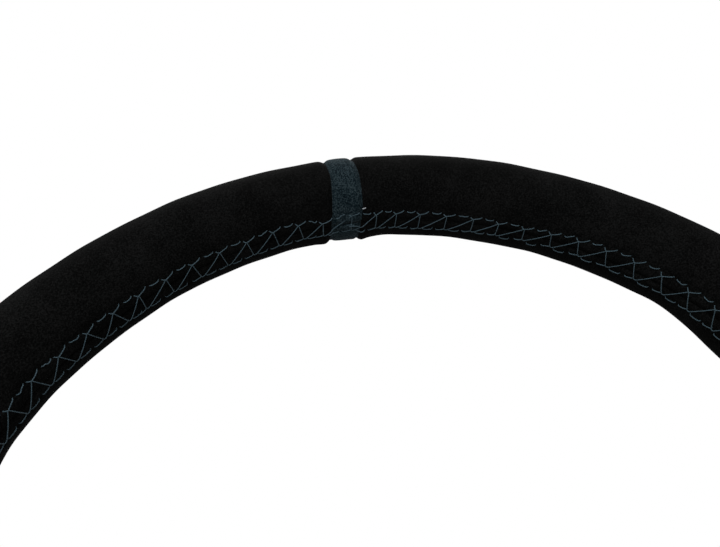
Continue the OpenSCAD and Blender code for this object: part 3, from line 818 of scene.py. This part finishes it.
# ---------------------------------------------------------------- the springs in place
spring_steel = MATERIALS["spring_steel"]
collar_coil = spring("collar_return_spring", "collar_spring",
                     mean_r=22.3 * MM, wire_r=0.9 * MM, turns=6, material=spring_steel)
horn_coil = spring("horn_button_spring", "horn_spring",
                   mean_r=9.2 * MM, wire_r=0.5 * MM, turns=6, material=spring_steel)


def squash_spring(piece):
    """Gives the spring a mesh of its own; the spring is not squashed and its ends stay where they are
    built.
    """
    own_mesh(piece)


squash_spring(collar_coil)
squash_spring(horn_coil)

# ---------------------------------------------------------------- studio
FLOOR_SIZE = 40.0
SIDE_SHADE = -0.45                # how much lower down a place at either side counts in the surround
CAMERA_AT = Vector((-0.0346, -0.1919, -0.0420))     # from the centre of the rim
LOOKS_AT = Vector((-0.0008, 0.0, 0.1169))
CAMERA_ROLL = -13.99
LENS = 33.0


def area_light(name, place, target, size, power, colour):
    data = bpy.data.lights.new(name, "AREA")
    data.shape = "DISK"
    data.size = size
    data.energy = power
    data.color = colour
    lamp = bpy.data.objects.new(name, data)
    lamp.location = place
    lamp.rotation_mode = "QUATERNION"
    lamp.rotation_quaternion = (Vector(target) - Vector(place)).to_track_quat("-Z", "Y")
    bpy.context.scene.collection.objects.link(lamp)


def studio_floor():
    """A pale floor at the wheel's lowest point, which throws little light back up."""
    made, tree, shader = material("studio_floor")
    paint = noise(tree, object_place(tree), 6, 3, 0.5)
    tree.links.new(ramp(tree, paint, [(0.3, (0.70, 0.70, 0.70)), (0.7, (0.73, 0.73, 0.73))]),
                   shader.inputs["Base Color"])
    shader.inputs["Roughness"].default_value = 0.9
    shader.inputs["Emission Color"].default_value = (1, 1, 1, 1)
    shader.inputs["Emission Strength"].default_value = 0.33
    dull = add(tree, "ShaderNodeBsdfDiffuse", Color=(0.40, 0.40, 0.40, 1))
    choose = tree.nodes.new("ShaderNodeMixShader")
    tree.links.new(tree.nodes.new("ShaderNodeLightPath").outputs["Is Camera Ray"], choose.inputs[0])
    tree.links.new(dull.outputs[0], choose.inputs[1])
    tree.links.new(shader.outputs[0], choose.inputs[2])
    tree.links.new(choose.outputs[0], tree.nodes["Material Output"].inputs["Surface"])
    half, height = FLOOR_SIZE / 2, cad_box[0].z - 1 * MM
    corners = [(x * half, y * half, height) for x, y in ((-1, -1), (1, -1), (1, 1), (-1, 1))]
    mesh = bpy.data.meshes.new("studio_floor")
    mesh.from_pydata(corners, [], [(0, 1, 2, 3)])
    mesh.materials.append(made)
    floor = bpy.data.objects.new("studio_floor", mesh)
    bpy.context.scene.collection.objects.link(floor)


def studio_world():
    """A white surround for the camera, and for the object softer light from above, with both sides
    shaded."""
    world = bpy.data.worlds.new("studio")
    bpy.context.scene.world = world
    world.use_nodes = True
    tree = world.node_tree
    tree.nodes.clear()
    seen = add(tree, "ShaderNodeBackground", Color=(1, 1, 1, 1), Strength=1.0)
    lighting = add(tree, "ShaderNodeBackground", Strength=1.0)
    parts = tree.nodes.new("ShaderNodeSeparateXYZ")
    tree.links.new(tree.nodes.new("ShaderNodeTexCoord").outputs["Generated"], parts.inputs[0])
    sideways = tree.nodes.new("ShaderNodeMath")
    sideways.operation = "ABSOLUTE"
    tree.links.new(parts.outputs["X"], sideways.inputs[0])
    shaded = tree.nodes.new("ShaderNodeMath")
    shaded.operation = "MULTIPLY_ADD"
    shaded.inputs[1].default_value = SIDE_SHADE
    tree.links.new(sideways.outputs[0], shaded.inputs[0])
    tree.links.new(parts.outputs["Z"], shaded.inputs[2])
    height = add(tree, "ShaderNodeMapRange", From_Min=-1.0, From_Max=1.0)
    tree.links.new(shaded.outputs[0], height.inputs["Value"])
    sky = ramp(tree, height.outputs["Result"],
               [(0.0, (0.18, 0.18, 0.18)), (0.55, (0.42, 0.42, 0.43)), (1.0, (1.0, 1.0, 1.0))])
    tree.links.new(sky, lighting.inputs["Color"])
    choose = tree.nodes.new("ShaderNodeMixShader")
    tree.links.new(tree.nodes.new("ShaderNodeLightPath").outputs["Is Camera Ray"], choose.inputs[0])
    tree.links.new(lighting.outputs[0], choose.inputs[1])
    tree.links.new(seen.outputs[0], choose.inputs[2])
    tree.links.new(choose.outputs[0], tree.nodes.new("ShaderNodeOutputWorld").inputs[0])


def studio_camera():
    data = bpy.data.cameras.new("photo_camera")
    data.sensor_width = 36.0
    data.lens = LENS
    data.clip_start = 0.01
    camera = bpy.data.objects.new("photo_camera", data)
    bpy.context.scene.collection.objects.link(camera)
    forward = (LOOKS_AT - CAMERA_AT).normalized()
    right = forward.cross(Vector((0, 0, 1))).normalized()
    up = right.cross(forward)
    turn = Matrix.Rotation(np.radians(CAMERA_ROLL), 4, "Z")
    axes = Matrix((right, up, -forward)).transposed().to_4x4()
    camera.matrix_world = Matrix.Translation(CAMERA_AT + Vector((0, RIM_Y, 0))) @ axes @ turn
    bpy.context.scene.camera = camera


studio_floor()
studio_world()
studio_camera()
area_light("softbox_top", (0.1, -0.3, 1.15), (0, RIM_Y, 0.1),
           size=0.9, power=7.8, colour=(1.0, 0.99, 0.97))
area_light("softbox_driver", (-0.3, -1.45, 0.1), (0, RIM_Y, 0.1),
           size=0.8, power=12.5, colour=(0.97, 0.98, 1.0))
area_light("softbox_back", (0.5, 0.8, 1.5), (0, 0, 0),
           size=0.8, power=14, colour=(1.0, 1.0, 1.0))
bpy.context.scene.view_settings.view_transform = "Standard"
